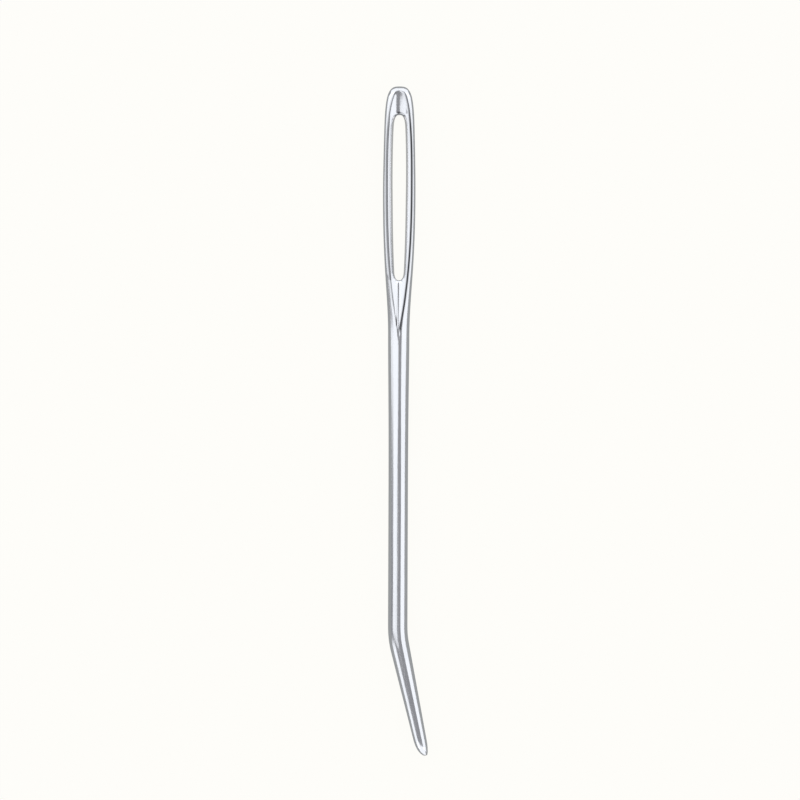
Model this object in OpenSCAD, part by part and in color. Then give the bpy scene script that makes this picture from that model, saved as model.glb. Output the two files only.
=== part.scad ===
// Yarn needle with a bent tip: one length of steel wire, shown lying on a table.
// The head points to +Y and the tip to -Y, turned towards +X. The table is Z = 0.
// The wire is drawn round, its head is pressed into a flat bar with a gutter on each face, the long
// eye is pierced through both gutters and its edge smoothed, and the tip is ground blunt and bent.
// Its solid is made in two, the head and the shaft, which meet face to face where the gutters end.
// In the functions, s is the distance from the end of the head, measured along the shaft.

/* [Wire] */
// Length of the needle from end to end, as it lies
needle_l = 70; // [62:0.5:95]
// Diameter of the round shaft
shaft_d = 2.1; // [1.9:0.05:2.6]

/* [Head] */
// Width of the head at its widest
head_w = 3.4; // [3.2:0.05:4.2]
// Thickness of the head across its crests
head_t = 1.6; // [1.4:0.05:2]
// Distance from the end of the head to its widest place
widest_at = 10; // [7:0.5:13]
// Width of the neck, below the gutters
neck_w = 2.26; // [1.9:0.02:2.7]
// Thickness of the neck
neck_t = 1.98; // [1.6:0.02:2.4]
// Length over which the neck turns into the round shaft
neck_l = 12; // [4:0.5:16]

/* [Gutters] */
// Distance between the two crests of a face at the widest place
gutter_w = 2.6; // [2.3:0.05:2.9]
// Metal left between the floors of the two gutters
web_t = 0.64; // [0.4:0.02:0.9]
// Metal left between the end of the head and the gutters
rim_l = 0.55; // [0.4:0.05:1]
// Length of the gutters below the eye, where they run out into the neck
throat_l = 5.6; // [3:0.1:8]

/* [Eye] */
// Length of the eye
eye_l = 17.3; // [14:0.1:20]
// Width of the eye at its widest
eye_w = 1.48; // [1.3:0.02:1.7]
// Width of the eye below its round top
eye_top_w = 1.2; // [0.9:0.02:1.3]
// Width of the eye above its round foot
eye_foot_w = 1.04; // [0.8:0.02:1.2]
// Metal between the eye and the end of the head
crown_l = 2.95; // [2:0.05:4]
// How far the smoothed edge of the eye runs back into the gutter
eye_edge = 0.28; // [0.1:0.02:0.32]

/* [Tip] */
// Length of the straight tip beyond the bend
tip_l = 11.6; // [8:0.1:16]
// Diameter of the tip where its blunt nose begins
tip_d = 1.42; // [1:0.02:1.7]
// Length of the blunt nose
nose_l = 1.36; // [0.7:0.02:2]
// Angle between the tip and the shaft
bend_angle = 12.5; // [5:0.5:30]
// Radius of the bend, to the middle of the wire
bend_r = 9.8; // [5:0.2:14]

/* [Hidden] */

// Points round the wire, and steps along the head, the throat and the neck
wire_points = 40;
head_steps = 16;
throat_steps = 16;
neck_steps = 4;
// Points across a gutter, steps round each end of the eye, along its sides, over its edge and along the nose
gutter_points = 16;
arch_steps = 6;
side_steps = 7;
edge_steps = 5;
nose_steps = 10;

// Section of the pressed bar: 2 is an ellipse, and more is squarer
bar_square = 3.5;
// Bluntness of each rounded end, seen from above, where 2 is an ellipse
head_end = 4;
gutter_end = 2.6;
// How late the head and the gutters narrow towards the neck, where 1 is a plain S-curve or a V
head_waist = 1.5;
gutter_waist = 2.5;
gutter_rise = 1.3;
// Length of the rounding at the end of the head, and of the gutters' steep upper end, seen from the side
end_round = 1;
gutter_ramp = 0.8;
// The eye is widest a little nearer the end than the head is
eye_lead = 0.8;
// Height of the eye's smoothed edge, as a share of half the head's thickness, and how late it rounds over
edge_share = 0.85;
edge_power = 3;
// A cutting shape ends this far out of the metal, and is never narrower than its least half width
clear = 0.3;
least = 0.06;
gutter_reach = 1.2;
// The neck ends inside the shaft, and the tip inside the bend: this much thinner, and this far in
inlet = 0.01;
inlet_l = 0.3;

shaft_r = shaft_d / 2;
tip_r = tip_d / 2;
eye_foot_at = crown_l + eye_l;
neck_at = eye_foot_at + throat_l;
round_at = neck_at + neck_l;
eye_widest_at = widest_at - eye_lead;
edge_h = edge_share * head_t / 2;
// The bar is thicker than the head's crests, because the gutters cut its middle away
bar_h = head_t / 2 / pow(1 - pow(gutter_w / head_w, bar_square), 1 / bar_square);

// The tip's lowest and outermost places follow from its lean, so that the length is exact
nose_drop = norm([nose_l * cos(bend_angle), tip_r * sin(bend_angle)]);
nose_out = norm([nose_l * sin(bend_angle), tip_r * cos(bend_angle)]);
bend_at = needle_l - nose_drop - (tip_l - nose_l) * cos(bend_angle) - bend_r * sin(bend_angle);
tip_x = bend_r * (1 - cos(bend_angle)) + (tip_l - nose_l) * sin(bend_angle) + nose_out;
middle_x = (max(tip_x, head_w / 2) - head_w / 2) / 2;

// Rises from 0 to 1 as t goes from 0 to 1, like the quarter of a rounded end
function bulge(t, n) = pow(1 - pow(1 - min(max(t, 0), 1), n), 1 / n);
// Falls from 1 to 0 as t goes from 0 to 1, in an S-curve
function ease(t, n = 1) = (1 + cos(180 * pow(min(max(t, 0), 1), n))) / 2;
// Keeps the sign of a number that is raised to a power
function signed_pow(v, n) = sign(v) * pow(abs(v), n);
function mix(a, b, share) = b + (a - b) * share;

// Half width, half height and squareness of the pressed bar
function below_widest(s) = (s - widest_at) / (neck_at - widest_at);
function below_neck(s) = (s - neck_at) / neck_l;
function bar_half(s) =
    s < widest_at ? head_w / 2 * bulge(s / widest_at, head_end) :
    s < neck_at ? mix(head_w, neck_w, ease(below_widest(s), head_waist)) / 2 :
    mix(neck_w / 2, shaft_r - inlet, ease(below_neck(s)));
function bar_high(s) =
    s < widest_at ? bar_h * bulge(s / end_round, 2) :
    s < neck_at ? mix(bar_h, neck_t / 2, ease(below_widest(s))) :
    mix(neck_t / 2, shaft_r - inlet, ease(below_neck(s)));
function bar_power(s) = mix(bar_square, 2, ease(below_widest(s)));
// Height of the bar's upper face at x
function bar_top(x, s) =
    bar_high(s) * pow(1 - pow(min(x / bar_half(s), 1), bar_power(s)), 1 / bar_power(s));

// Half width of a gutter between its crests, and the height of its floor
function gutter_half(s) = max(least, gutter_w / 2 * (
    s < widest_at ? bulge((s - rim_l) / (widest_at - rim_l), gutter_end) :
    1 - pow(below_widest(s), gutter_waist)));
function gutter_floor(s) = mix(bar_high(s) + least, web_t / 2,
    s < widest_at ? 1 - bulge((s - rim_l) / gutter_ramp, 2) :
    pow(max(0, (s - eye_foot_at) / throat_l), gutter_rise));

// Places along the head, closer together towards a rounded end of bluntness n
function end_places(start, n) = [for (i = [0:head_steps])
    start + (widest_at - start) * (1 - pow(cos(90 * i / head_steps), 2 / n))];
throat_places = [for (i = [1:throat_steps]) mix(neck_at, widest_at, i / throat_steps)];
neck_places = [for (i = [0:neck_steps]) neck_at + neck_l * i / neck_steps, round_at + inlet_l];

function bar_ring(s) = let (w = max(least, bar_half(s)), h = max(least, bar_high(s)), n = 2 / bar_power(s))
    [for (i = [0:wire_points - 1]) let (a = 360 * i / wire_points)
        [w * signed_pow(cos(a), n), -s, h * signed_pow(sin(a), n)]];

// A gutter's floor is a parabola that passes through both crests
function gutter_ring(s) = let (half = gutter_half(s), low = gutter_floor(s), rise = max(least, bar_top(half, s) - low))
    concat([for (i = [0:gutter_points]) let (x = gutter_reach * half * (2 * i / gutter_points - 1))
        [x, -s, low + rise * pow(x / half, 2)]],
    [for (side = [1, -1]) [side * gutter_reach * half, -s, bar_h + shaft_r]]);

// Outline of the eye, grown by flare all round: sides that bow in towards both ends, and round ends
function eye_side(s) = let (end_w = s < eye_widest_at ? eye_top_w : eye_foot_w,
        end_at = s < eye_widest_at ? crown_l : eye_foot_at)
    mix(end_w, eye_w, pow((s - eye_widest_at) / (end_at - eye_widest_at), 2)) / 2;
function eye_half(s, flare) = (eye_side(s) + flare)
    * bulge((s - crown_l + flare) / (eye_top_w / 2 + flare), 2)
    * bulge((eye_foot_at + flare - s) / (eye_foot_w / 2 + flare), 2);
function eye_places(flare) = let (top_end = crown_l + eye_top_w / 2, foot_end = eye_foot_at - eye_foot_w / 2)
    concat([for (i = [0:arch_steps]) top_end - (eye_top_w / 2 + flare) * cos(90 * i / arch_steps)],
        [for (i = [1:side_steps - 1]) mix(foot_end, top_end, i / side_steps)],
        [for (i = [0:arch_steps]) foot_end + (eye_foot_w / 2 + flare) * sin(90 * i / arch_steps)]);
function eye_ring(z, flare) = let (places = eye_places(flare), last = len(places) - 1)
    concat([for (s = places) [eye_half(s, flare), -s, z]],
        [for (i = [last - 1:-1:1]) [-eye_half(places[i], flare), -places[i], z]]);

// Skin over a list of rings with the same number of points each
module loft(rings) {
    count = len(rings[0]);
    last = len(rings) - 1;
    polyhedron(
        points = [for (ring = rings) each ring],
        faces = concat(
            [[for (i = [0:count - 1]) i]],
            [for (r = [0:last - 1]) for (i = [0:count - 1]) let (j = (i + 1) % count)
                [r * count + i, (r + 1) * count + i, (r + 1) * count + j, r * count + j]],
            [[for (i = [count - 1:-1:0]) last * count + i]]));
}

module pressed_bar() {
    loft([for (s = concat(end_places(0, head_end), throat_places)) bar_ring(s)]);
}

module gutter() {
    loft([for (s = concat(end_places(rim_l, gutter_end), throat_places)) gutter_ring(s)]);
}

// The eye's cutter is narrowest half way through the metal
module eye() {
    shares = [for (i = [-edge_steps:edge_steps]) -i / edge_steps];
    loft(concat(
        [eye_ring(bar_h + clear, eye_edge)],
        [for (h = shares) eye_ring(edge_h * h, eye_edge * pow(abs(h), edge_power))],
        [eye_ring(-bar_h - clear, eye_edge)]));
}

module neck() {
    loft([for (s = neck_places) bar_ring(s)]);
}

module round_wire() {
    translate([0, -round_at, 0]) rotate([90, 0, 0])
        cylinder(r = shaft_r, h = bend_at - round_at, $fn = wire_points);
}

// The bend turns about a point beside the shaft, and the tip follows from there
module about_bend() {
    translate([bend_r, -bend_at, 0]) rotate([0, 0, 180]) children();
}

module bend() {
    about_bend() rotate_extrude(angle = bend_angle, $fn = 8 * wire_points)
        translate([bend_r, 0]) circle(r = shaft_r, $fn = wire_points);
}

module tip() {
    root = [[0, -inlet_l], [shaft_r - inlet, -inlet_l], [shaft_r - inlet, 0]];
    nose = [for (i = [0:nose_steps]) let (a = 90 * i / nose_steps)
        [tip_r * cos(a), tip_l - nose_l + nose_l * sin(a)]];
    about_bend() rotate([0, 0, bend_angle]) translate([bend_r, 0, 0]) rotate([-90, 0, 0])
        rotate_extrude($fn = wire_points) polygon(concat(root, nose));
}

// Turns places along the wire into places on the table, with the middle of the needle's box at the origin
module on_table() {
    translate([-middle_x, needle_l / 2, shaft_r]) children();
}

module head() {
    color("silver") on_table() difference() {
        pressed_bar();
        gutter();
        mirror([0, 0, 1]) gutter();
        eye();
    }
}

module shaft() {
    color("silver") on_table() {
        neck();
        round_wire();
        bend();
        tip();
    }
}

head();
shaft();
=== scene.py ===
import math

import bmesh
import bpy
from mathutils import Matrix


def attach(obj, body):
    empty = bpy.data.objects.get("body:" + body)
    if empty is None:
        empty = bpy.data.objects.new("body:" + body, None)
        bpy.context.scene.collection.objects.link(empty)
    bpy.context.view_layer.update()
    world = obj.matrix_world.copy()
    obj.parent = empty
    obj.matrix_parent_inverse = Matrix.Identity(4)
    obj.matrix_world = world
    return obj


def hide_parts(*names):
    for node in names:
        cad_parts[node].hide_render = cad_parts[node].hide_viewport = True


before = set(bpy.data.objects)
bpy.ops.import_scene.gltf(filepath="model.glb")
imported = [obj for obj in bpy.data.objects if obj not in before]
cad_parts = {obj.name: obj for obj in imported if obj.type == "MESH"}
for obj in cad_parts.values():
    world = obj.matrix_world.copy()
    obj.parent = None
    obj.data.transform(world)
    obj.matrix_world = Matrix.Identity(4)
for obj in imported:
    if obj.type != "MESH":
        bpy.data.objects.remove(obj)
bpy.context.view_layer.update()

# The needle is one length of steel wire, drawn round, with a head that two dies pressed flat. Each die
# left a gutter in its face, the long eye was punched through both and its edge smoothed, and the far
# end was ground to a blunt nose and bent. It is modelled in millimetres, from the end of the head.
shaft_r = 1.012
head_half = 1.7
bar_high = 0.922
bar_square = 3.5
neck_half = 1.11
neck_high = 0.99
widest_at = 10
neck_at = 25.85
round_at = 37.85

# How blunt the head's end is from above and from the side, where 2 is an ellipse, how late the head
# turns into the neck, and how far its flanks and its end are drawn in.
head_blunt = 4
side_blunt = 3
head_waist = 1.5
square_waist = 2.2
flank_in = 0.07
flank_l = 9.5
end_in = 0.09
end_l = 1.2


def bulge(t, n):
    """Rises from 0 to 1 like the quarter of a rounded end."""
    return (1 - (1 - min(max(t, 0), 1)) ** n) ** (1 / n)


def ease(t, n=1.0):
    """Falls from 1 to 0 in an S-curve."""
    return (1 + math.cos(math.pi * min(max(t, 0), 1) ** n)) / 2


def mix(a, b, share):
    return b + (a - b) * share


def below_widest(s):
    return (s - widest_at) / (neck_at - widest_at)


def bar_section(s):
    """Half width, half height and squareness of the pressed bar, s mm from the end of the head."""
    if s < widest_at:
        flank = flank_in * math.sin(math.pi * min(s / flank_l, 1))
        drawn_in = flank + end_in * max(0, 1 - s / end_l) ** 2
        half = head_half * bulge(s / widest_at, head_blunt) - drawn_in
        return half, bar_high * bulge(s, side_blunt), bar_square
    if s < neck_at:
        past = below_widest(s)
        half = mix(head_half, neck_half, ease(past, head_waist))
        high = mix(bar_high, neck_high, ease(past))
        return half, high, mix(bar_square, 2, ease(past, square_waist))
    drawn = ease((s - neck_at) / (round_at - neck_at))
    return mix(neck_half, shaft_r, drawn), mix(neck_high, shaft_r, drawn), 2


def bar_top(x, s):
    """Height of the bar's upper face at x."""
    w, h, n = bar_section(s)
    return h * (1 - min(x / w, 1) ** n) ** (1 / n)


# The gutter begins inside the rim at the end of the head, and its crests close to a V at the neck.
rim_at = 0.55
crest_half = 1.3
gutter_blunt = 2.6
gutter_waist = 2.5
least_half = 0.05
least_share = 0.05


def gutter(s):
    """Half width between a gutter's crests."""
    if s < widest_at:
        return max(crest_half * bulge((s - rim_at) / (widest_at - rim_at), gutter_blunt), least_half)
    return crest_half * max(1 - below_widest(s) ** gutter_waist, least_share)


# Depths are shares of the gutter's half width. The gutter deepens along the crown, above the eye, is a
# bowl down to the widest place of the head, and has steeper sides towards the throat.
web_half = 0.32
crown_depth = 0.14
crown_gain = 0.08
crown_l = 3
crown_valley = 2
throat_depth = 0.46
throat_valley = 1.4


def face_point(x, s):
    """A point of the upper face: on the gutter inside its crests, and on the bar outside them."""
    half = gutter(s)
    top = bar_top(x, s)
    if rim_at < s < neck_at and x < half:
        crest = bar_top(half, s)
        depth = throat_depth * half
        valley = throat_valley
        if s < widest_at:
            depth = (crown_depth + crown_gain * min(s, crown_l)) * half
            valley = crown_valley
        return (x, s, min(top, max(crest - depth, web_half) + depth * (x / half) ** valley))
    return (x, s, top)


# Points from the side up to the crest, and then those across the face, from the crest to the middle: how
# far out each is, as a share of the crest's place, and how much of the bow it takes.
side_points = 3
across = ((1, 0), (0.68, 0.45), (0.34, 0.85), (0, 1))


def section(s, bow=0, crests=None):
    """A quarter of one ring: from the side, over the crest, to the middle of the face. bow is how far
    the middle runs ahead of the sides, and crests is where the crest point stands, if not on the crest."""
    w, h, n = bar_section(s)
    half = crests if crests else gutter(s)
    crest_a = math.acos(min((half / w) ** (n / 2), 1))
    ring = []
    for i in range(side_points):
        a = crest_a * i / side_points
        ring.append((w * math.cos(a) ** (2 / n), s, h * math.sin(a) ** (2 / n)))
    for share, lead in across:
        ring.append(face_point(half * share, s - bow * lead))
    return ring


# Beside the eye the outer shoulder of each crest is filled out, and the inner side rounds over a
# smoothed edge into the wall of the eye.
shoulder_out = 0.01
shoulder_up = 0.02
edge_share = 0.52
edge_drop = 0.085
wall_share = 0.16
wall_high = 0.56


def rail(s, eye_half):
    """A quarter ring beside the eye: a rounded crest, the smoothed edge and the middle of the eye's wall."""
    ring = section(s)
    half, crest = ring[3][0], ring[3][2]
    ring[2] = (ring[2][0] + shoulder_out, s, ring[2][2] + shoulder_up)
    ring[4] = (mix(half, eye_half, edge_share), s, crest - edge_drop)
    ring[5] = (mix(half, eye_half, wall_share), s, wall_high * crest)
    ring[6] = (eye_half, s, 0)
    return ring


wire_points = 24
quarter = wire_points // 4
point_angle = 360 // wire_points


def disc(s, r):
    """A quarter of a round ring."""
    angles = [math.radians(point_angle * i) for i in range(quarter + 1)]
    return [(r * math.cos(a), s, r * math.sin(a)) for a in angles]


# The rings stand along the crown, the rails beside the eye, the throat and the neck, in that order.
rings = [
    section(0.004, 0, 0.2), section(0.05, 0, 0.33), section(0.2, 0.02, 0.45), section(0.46, 0.06, 0.58),
    section(0.82, 0.28, 0.66), section(1.25, 0.45), section(1.8, 0.35), section(2.4, 0.15),
    section(2.85, 0.05), section(3.08, 0.15),
    rail(3.5, 0.57), rail(4.3, 0.64), rail(6, 0.70), rail(8, 0.73), rail(10, 0.735), rail(12, 0.70),
    rail(14, 0.68), rail(16, 0.64), rail(18, 0.575), rail(19.2, 0.52), rail(19.8, 0.49),
    section(20.1, -0.15), section(20.5, -0.1), section(21.5), section(22.8, 0, 0.7), section(24, 0, 0.56),
    section(25, 0, 0.5), section(25.7, 0, 0.5),
    section(26.6, 0, 0.54), section(28.5, 0, 0.62), section(33, 0, 0.72), disc(38.5, shaft_r),
]

bpy.ops.object.select_all(action="DESELECT")
bpy.ops.mesh.primitive_circle_add(vertices=wire_points, radius=1, rotation=(math.radians(90), 0, 0))
needle = bpy.context.active_object
needle.name = needle.data.name = "needle_body"
bpy.ops.object.transform_apply(rotation=True)
bpy.ops.object.mode_set(mode="EDIT")


def pick(chosen):
    """Selects the points for which chosen(x, y, z) is true."""
    mesh = bmesh.from_edit_mesh(needle.data)
    for v in mesh.verts:
        v.select = chosen(*v.co)
    mesh.select_flush_mode()
    bmesh.update_edit_mesh(needle.data)


def near(a, b):
    """Whether two places agree to a fraction of a micron, with room for rounding in the mesh."""
    return abs(a - b) < 2e-4


def stretch(now, wanted):
    """The scale that takes a point to its new distance from the middle. In the middle it is 1."""
    return wanted / now if now > 1e-6 else 1


def shape_ring(now, wanted):
    """Moves each group of four mirrored points of the newest ring to its place."""
    for (x0, y0, z0), (x1, y1, z1) in zip(now, wanted):
        pick(lambda x, y, z: near(abs(x), x0) and near(y, y0) and near(abs(z), z0))
        bpy.ops.transform.translate(value=(0, y1 - y0, 0))
        bpy.ops.transform.resize(value=(stretch(x0, x1), 1, stretch(z0, z1)), center_override=(0, y1, 0))


def stand_off(ring):
    """The cage stands off the finished surface by a sixth of its bend. Beside the eye its middle point
    only carries the faces that the eye takes away."""
    side, top = ring[1], ring[quarter - 1]
    full = [(side[0], side[1], -side[2])] + ring + [(-top[0], top[1], top[2])]
    cage = [(p[0] + (2 * p[0] - a[0] - b[0]) / 6, -p[1], p[2] + (2 * p[2] - a[2] - b[2]) / 6)
            for a, p, b in zip(full, full[1:], full[2:])]
    if ring[quarter][0] > 0:
        cage[quarter] = (0, *cage[quarter - 1][1:])
    return cage


# Each ring is pulled out of the last one and then shaped.
pull = 0.01
now = [(x, 0, z) for x, y, z in disc(0, 1)]
now[quarter] = (0, 0, 1)
for ring in rings:
    wanted = stand_off(ring)
    if ring is not rings[0]:
        pick(lambda x, y, z: any(near(abs(x), p[0]) and near(y, p[1]) and near(abs(z), p[2]) for p in now))
        bpy.ops.mesh.extrude_region_move(TRANSFORM_OT_translate={"value": (0, -pull, 0)})
        now = [(x, y - pull, z) for x, y, z in now]
    shape_ring(now, wanted)
    now = wanted

# The wire bends about a point beside it, and the tip then tapers to its nose, which is ground at a
# slant, so its end stands aside, towards the side that the tip bends to.
straight_at = 48
bend_lead = 0.6
bend_at = 56.49
bend_r = 9.8
bend_angle = math.radians(12.5)
turns = 4
tip_l = 11.66
tip_r = 0.68
nose_l = 1.9
nose_aside = 0.44
taper_places = (0.4, 3.5, 7, 9.6)
nose_angles = (5, 25, 43, 60, 75)

bend_centre = (bend_r, -bend_at, 0)
pick(lambda x, y, z: near(y, now[0][1]))
for s in (straight_at, bend_at - bend_lead, bend_at):
    bpy.ops.mesh.extrude_region_move(TRANSFORM_OT_translate={"value": (0, -s - now[0][1], 0)})
    now = [(x, -s, z) for x, y, z in now]
for i in range(turns):
    bpy.ops.mesh.extrude_region_move(TRANSFORM_OT_translate={"value": (0, 0, 0)})
    bpy.ops.transform.rotate(value=-bend_angle / turns, orient_axis="Z", center_override=bend_centre)

along = (math.sin(bend_angle), -math.cos(bend_angle))
root = (bend_r * (1 - math.cos(bend_angle)), -bend_at - bend_r * math.sin(bend_angle))
taper_l = tip_l - nose_l
stations = [(u, mix(tip_r, shaft_r, u / taper_l)) for u in taper_places]
for a in nose_angles:
    stations.append((taper_l + nose_l * math.sin(math.radians(a)), tip_r * math.cos(math.radians(a))))
centre = (root[0], root[1], 0)
r = shaft_r
for u, wanted_r in stations:
    aside = nose_aside * max(0, tip_r - wanted_r)
    wanted = (root[0] + u * along[0] - aside * along[1], root[1] + u * along[1] + aside * along[0], 0)
    step = [b - a for a, b in zip(centre, wanted)]
    bpy.ops.mesh.extrude_region_move(TRANSFORM_OT_translate={"value": step})
    bpy.ops.transform.resize(value=(wanted_r / r,) * 3, center_override=wanted)
    centre = wanted
    r = wanted_r
bpy.ops.mesh.fill_grid(span=quarter)
pick(lambda x, y, z: near(y, -rings[0][0][1]))
bpy.ops.mesh.fill_grid(span=quarter)

# The eye goes through both gutters, and its wall is drawn in half way down. The first pair of places
# bounds the faces that it takes away, and the second pair the points of its wall.
eye_from, eye_to = -20.26, -2.9
face_low = 0.1
wall_from, wall_to = -20.5, -2.5
wall_reach = 0.95
wall_in = 0.82

mesh = bmesh.from_edit_mesh(needle.data)
for face in mesh.faces:
    over_eye = all(eye_from < v.co.y < eye_to for v in face.verts)
    in_middle = any(near(v.co.x, 0) and abs(v.co.z) > face_low for v in face.verts)
    face.select_set(over_eye and in_middle)
bmesh.update_edit_mesh(needle.data)
bpy.ops.mesh.delete(type="FACE")
bpy.ops.mesh.select_non_manifold(extend=False)
bpy.ops.mesh.bridge_edge_loops(number_cuts=1)
pick(lambda x, y, z: near(z, 0) and abs(x) < wall_reach and wall_from < y < wall_to)
bpy.ops.transform.resize(value=(wall_in, 1, 1), center_override=(0, 0, 0))

# It is brought to metres, its axis to its height above the table, and the middle of its box over the
# origin.
millimetre = 0.001
axis_x = -0.000751
head_end_y = 0.035
axis_z = 0.00105

bpy.ops.mesh.select_all(action="SELECT")
bpy.ops.mesh.normals_make_consistent(inside=False)
bpy.ops.transform.resize(value=(millimetre,) * 3, center_override=(0, 0, 0))
bpy.ops.transform.translate(value=(axis_x, head_end_y, axis_z))
bpy.ops.object.mode_set(mode="OBJECT")
smooth = needle.modifiers.new("smooth", "SUBSURF")
smooth.levels = smooth.render_levels = 2
bpy.ops.object.modifier_apply(modifier="smooth")
bpy.ops.object.shade_smooth()

# Painted shade lies in dark lines along the crests, more on one side than the other, along the lip of the
# eye on the left, round the rim at its top and down the throat. The wall of the eye gets a painted
# highlight.
line_w = 0.1


def stroke(distance, width):
    """A fine line of painted shade: 1 in its middle, and fading over its width."""
    return math.exp(-(distance / width) ** 2)


crest_dark = 1.3
least_line_at = 0.13
fade_start = 0.1
fade_slope = 0.2
neck_fade_l = 0.5
eye_foot_at = 20.25
left_shift = 0.04
left_share = 0.65
left_foot_share = 0.3
left_ends_at = 24
left_fade_l = 1.5


def crest_painted_shade(x, s):
    """Painted shade in lines along the crests, fainter on the left, that fade at both ends."""
    line_at = max(gutter(s), least_line_at) + (left_shift if x < 0 else 0)
    fade = min(1, fade_start + fade_slope * s, (neck_at - s) / neck_fade_l)
    shade_amount = crest_dark * stroke(abs(x) - line_at, line_w) * fade
    if x >= 0:
        return shade_amount
    if s < eye_foot_at:
        return shade_amount * left_share
    return shade_amount * (left_foot_share * min(1, max(0, (left_ends_at - s) / left_fade_l)))


throat_from, throat_to = 20.8, 25.1
throat_x = -0.05
throat_drift = 0.2
drift_l = 4.4
throat_w = 0.06
throat_faint = 0.3
darkens_at = 23.9
darkens_by = 2


def throat_painted_shade(x, s):
    """A faint painted line of shade down the throat, which leans to the left and ends in a short dark one.
    """
    if not throat_from < s < throat_to:
        return 0
    line_at = throat_x - throat_drift * (s - throat_from) / drift_l
    return stroke(x - line_at, throat_w) * min(1, throat_faint + darkens_by * max(0, s - darkens_at))


lip_from, lip_to = 4, 19.5
lip_share = 0.7
lip_w = 0.14
lip_dark = 0.3


def lip_painted_shade(x, s):
    """A painted band of shade along the left lip of the eye."""
    return lip_dark * stroke(x + lip_share * gutter(s), lip_w) if lip_from < s < lip_to else 0


rim_from, rim_to = 2.6, 3.5
rim_centre_at = 3.62
rim_r = 0.66
middle_from, middle_to = 2.65, 3.1
middle_x = -0.08
middle_w = 0.17
middle_dark = 0.9


def rim_painted_shade(x, s):
    """A painted line of shade round the top of the eye, broader in the middle."""
    line = stroke(math.hypot(x, s - rim_centre_at) - rim_r, line_w) if rim_from < s < rim_to else 0
    middle = middle_dark * stroke(x - middle_x, middle_w) if middle_from < s < middle_to else 0
    return max(line, middle)


face_from = 0.4
highlight_from = 3.2
highlight_reach = 0.8
highlight_below = 0.70
highlight_fade = 0.15
# The first attribute holds painted shade on the face of the head, and the second a painted highlight on the
# wall of the eye.
painted_shade = needle.data.attributes.new("painted_shade", "FLOAT", "POINT")
painted_highlight = needle.data.attributes.new("painted_highlight", "FLOAT", "POINT")
for v in needle.data.vertices:
    x, s = (v.co.x - axis_x) / millimetre, (head_end_y - v.co.y) / millimetre
    z = abs(v.co.z - axis_z) / millimetre
    if rim_at < s < neck_at and z > face_from:
        shade_amount = crest_painted_shade(x, s) + throat_painted_shade(x, s) + lip_painted_shade(x, s) + rim_painted_shade(x, s)
        painted_shade.data[v.index].value = min(1, shade_amount)
    # A painted highlight on the wall of the eye, strongest low down.
    if highlight_from < s < eye_foot_at and abs(x) < highlight_reach * gutter(s):
        painted_highlight.data[v.index].value = min(1, max(0, (highlight_below - z) / highlight_fade))

# The wire is nickel plated and polished along its length, so the finish is fine lines along the wire
# over a metal that is a little uneven, darker where shade is painted and brighter where a highlight is
# painted.
plate_dark = (0.675, 0.70, 0.74, 1)
plate_light = (0.71, 0.735, 0.775, 1)
painted_shade_colour = (0.03, 0.03, 0.034, 1)
painted_highlight_colour = (0.96, 0.965, 0.98, 1)
plate_tint = (0.85, 0.87, 0.9, 1)
least_rough = 0.11
most_rough = 0.2
cloud_scale = (700, 180, 700)
line_scale = (9000, 220, 9000)
noise_low, noise_high = 0.3, 0.7
scratch_share = 0.12
scratch_depth = 0.00001

plating = bpy.data.materials.new("plated_steel")
plating.use_nodes = True
nodes, links = plating.node_tree.nodes, plating.node_tree.links
metal = nodes["Principled BSDF"]
metal.inputs["Metallic"].default_value = 1.0
metal.inputs["IOR"].default_value = 1.5
place = nodes.new("ShaderNodeTexCoord")


def noise_along(scale, detail=2.0, roughness=0.5):
    """Noise on the needle's own coordinates, its scale given across, along and up, per metre."""
    turn = nodes.new("ShaderNodeMapping")
    turn.inputs["Scale"].default_value = scale
    links.new(place.outputs["Object"], turn.inputs["Vector"])
    noise = nodes.new("ShaderNodeTexNoise")
    noise.inputs["Scale"].default_value = 1.0
    noise.inputs["Detail"].default_value = detail
    noise.inputs["Roughness"].default_value = roughness
    links.new(turn.outputs["Vector"], noise.inputs["Vector"])
    return noise


def remap(noise, low, high):
    """Spreads the middle of a noise's range over the range that an input takes."""
    change = nodes.new("ShaderNodeMapRange")
    change.inputs["From Min"].default_value = noise_low
    change.inputs["From Max"].default_value = noise_high
    change.inputs["To Min"].default_value = low
    change.inputs["To Max"].default_value = high
    links.new(noise.outputs["Fac"], change.inputs["Value"])
    return change.outputs["Result"]


cloud = noise_along(cloud_scale, detail=3.0)
lines = noise_along(line_scale, detail=4.0, roughness=0.6)
tone = nodes.new("ShaderNodeMix")
tone.data_type = "RGBA"
tone.inputs["A"].default_value = plate_dark
tone.inputs["B"].default_value = plate_light
links.new(remap(cloud, 0, 1), tone.inputs["Factor"])
colour = tone.outputs["Result"]
# The painted shade and the painted highlight are mixed into the colour.
for where, shade in (("painted_shade", painted_shade_colour), ("painted_highlight", painted_highlight_colour)):
    amount = nodes.new("ShaderNodeAttribute")
    amount.attribute_name = where
    blend = nodes.new("ShaderNodeMix")
    blend.data_type = "RGBA"
    blend.inputs["B"].default_value = shade
    links.new(colour, blend.inputs["A"])
    links.new(amount.outputs["Fac"], blend.inputs["Factor"])
    colour = blend.outputs["Result"]
links.new(colour, metal.inputs["Base Color"])
metal.inputs["Specular Tint"].default_value = plate_tint
links.new(remap(lines, least_rough, most_rough), metal.inputs["Roughness"])
scratch = nodes.new("ShaderNodeBump")
scratch.inputs["Strength"].default_value = scratch_share
scratch.inputs["Distance"].default_value = scratch_depth
links.new(lines.outputs["Fac"], scratch.inputs["Height"])
links.new(scratch.outputs["Normal"], metal.inputs["Normal"])
needle.data.materials.append(plating)

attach(needle, "root")
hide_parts("head", "shaft")

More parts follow.
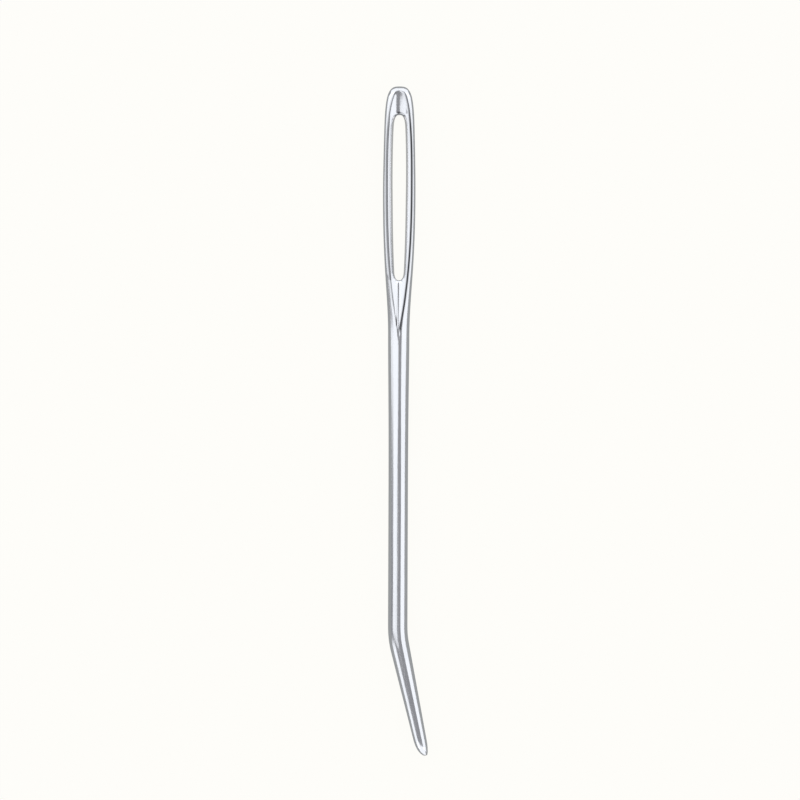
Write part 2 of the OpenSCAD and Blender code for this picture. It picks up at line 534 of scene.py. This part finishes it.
# The floor is a plain sheet of warm white card. It is mostly white of its own, so only a faint shadow of
# the needle shows on it, and in the metal it is a little under half as bright as the camera sees it.
floor_size = 6
card_colour = (0.45, 0.446, 0.432, 1)
card_rough = 0.9
card_white = (1.0, 0.992, 0.958, 1)
own_share = 0.94
white_seen = 1.02
white_in_metal = 0.45

bpy.ops.object.select_all(action="DESELECT")
bpy.ops.mesh.primitive_plane_add(size=floor_size)
floor = bpy.context.active_object
floor.name = floor.data.name = "floor"
card = bpy.data.materials.new("card")
card.use_nodes = True
card_nodes, card_links = card.node_tree.nodes, card.node_tree.links
paper = card_nodes["Principled BSDF"]
paper.inputs["Base Color"].default_value = card_colour
paper.inputs["Roughness"].default_value = card_rough
paper.inputs["Specular IOR Level"].default_value = 0.0
white = card_nodes.new("ShaderNodeEmission")
white.inputs["Color"].default_value = card_white
ray = card_nodes.new("ShaderNodeLightPath")
in_metal = card_nodes.new("ShaderNodeMath")
in_metal.operation = "MAXIMUM"
card_links.new(ray.outputs["Is Glossy Ray"], in_metal.inputs[0])
card_links.new(ray.outputs["Is Transmission Ray"], in_metal.inputs[1])
seen = card_nodes.new("ShaderNodeMath")
seen.operation = "MAXIMUM"
card_links.new(ray.outputs["Is Camera Ray"], seen.inputs[0])
card_links.new(in_metal.outputs[0], seen.inputs[1])
share = card_nodes.new("ShaderNodeMath")
share.operation = "MULTIPLY"
share.inputs[1].default_value = own_share
card_links.new(seen.outputs[0], share.inputs[0])
strength = card_nodes.new("ShaderNodeMath")
strength.operation = "MULTIPLY_ADD"
strength.inputs[1].default_value = white_in_metal - white_seen
strength.inputs[2].default_value = white_seen
card_links.new(in_metal.outputs[0], strength.inputs[0])
card_links.new(strength.outputs[0], white.inputs["Strength"])
both = card_nodes.new("ShaderNodeMixShader")
card_links.new(share.outputs[0], both.inputs["Fac"])
card_links.new(paper.outputs["BSDF"], both.inputs[1])
card_links.new(white.outputs["Emission"], both.inputs[2])
card_links.new(both.outputs["Shader"], card_nodes["Material Output"].inputs["Surface"])
floor.data.materials.append(card)

# Long softboxes hang round the needle, their upper and lower edges a metre away, in a room of even grey.
# Each has the side that it hangs at, as a bearing from the head's end, the angles off the vertical that
# it covers, and the places of its two ends, in metres.
radiance = 0.97
room_grey = (0.355, 0.348, 0.355, 1)
for name, bearing, first, last, low, high in (
        ("softbox_left", 270, 3, 60, -0.17, 0.45),
        ("softbox_left_low", 270, 60, 87, -0.01, 0.45),
        ("softbox_left_end", 270, 44, 86, -0.9, -0.25),
        ("softbox_right", 90, 27, 84, -0.5, 0.45),
        ("softbox_head", 0, 22, 86, -1.0, 1.0),
        ("softbox_nose", 180, 26, 86, -0.8, 0.8)):
    turned = math.radians(bearing)
    lean, spread = math.radians((first + last) / 2), math.radians((last - first) / 2)
    away = math.cos(spread)
    out = away * math.sin(lean)
    shifted = (low + high) / 2
    bpy.ops.object.light_add(
        type="AREA",
        location=(out * math.sin(turned), out * math.cos(turned) + shifted, away * math.cos(lean)),
        rotation=(lean, 0, math.pi - turned))
    softbox = bpy.context.active_object
    softbox.name = name
    softbox.data.shape = "RECTANGLE"
    softbox.data.size = high - low
    softbox.data.size_y = 2 * math.sin(spread)
    softbox.data.energy = radiance * math.pi * softbox.data.size * softbox.data.size_y

room = bpy.data.worlds.new("room")
bpy.context.scene.world = room
room.use_nodes = True
room.node_tree.nodes["Background"].inputs["Color"].default_value = room_grey
room.node_tree.nodes["Background"].inputs["Strength"].default_value = 1.0

# The camera looks straight down, turned a fifth of a degree, as in the photograph.
camera_at = (-0.000596, 0.00225, 0.23335)
camera_turn = math.radians(0.2)
bpy.ops.object.camera_add(location=camera_at, rotation=(0, 0, camera_turn))
camera = bpy.context.active_object
camera.name = "camera"
camera.data.lens = 100
camera.data.sensor_width = 36
camera.data.clip_start = 0.01
camera.data.clip_end = 20
bpy.context.scene.camera = camera
bpy.context.scene.view_settings.view_transform = "Standard"
